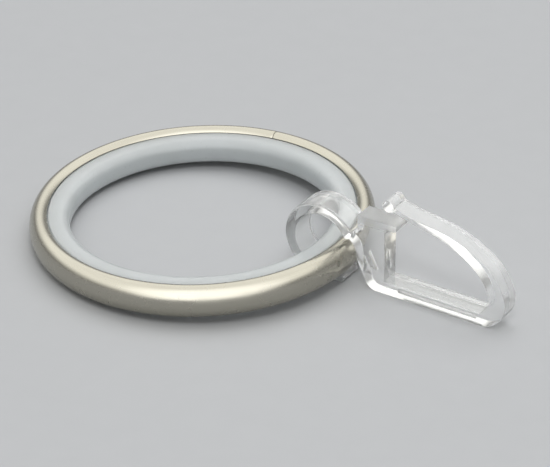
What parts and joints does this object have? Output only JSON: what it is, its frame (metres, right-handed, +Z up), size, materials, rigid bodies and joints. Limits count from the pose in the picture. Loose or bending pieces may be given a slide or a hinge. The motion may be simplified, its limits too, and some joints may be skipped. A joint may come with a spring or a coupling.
{
  "type": "curtain ring with clip",
  "caption": "Round metal-shelled curtain ring with a smooth plastic glide liner and a clear moulded pleat hook whose open eye snaps over the ring and travels round it.",
  "frame": {"origin": "middle of the whole part's extent in X and Y, on the surface it lies on", "axes": "+X out from the ring through the hook, +Z up from the surface; the ring is raised about 2.2 degrees on the hook's side, where it rests on the hook's eye"},
  "size_m": [0.0626, 0.042, 0.0127],
  "materials": {
    "ring_metal": "satin nickel",
    "liner_plastic": "smooth, slightly translucent",
    "hook_plastic": "clear moulded"
  },
  "bodies": {
    "ring": {"ring_shell": "ring_metal", "glide_liner": "liner_plastic"},
    "hook": {"pleat_hook": "hook_plastic"}
  },
  "joints": [
    {"name": "hook_travel", "type": "hinge", "parent": "ring", "child": "hook", "pos_m": [-0.0103, 0, 0.0028], "axis": [-0.0382, 0, 0.9993], "continuous": true}
  ]
}
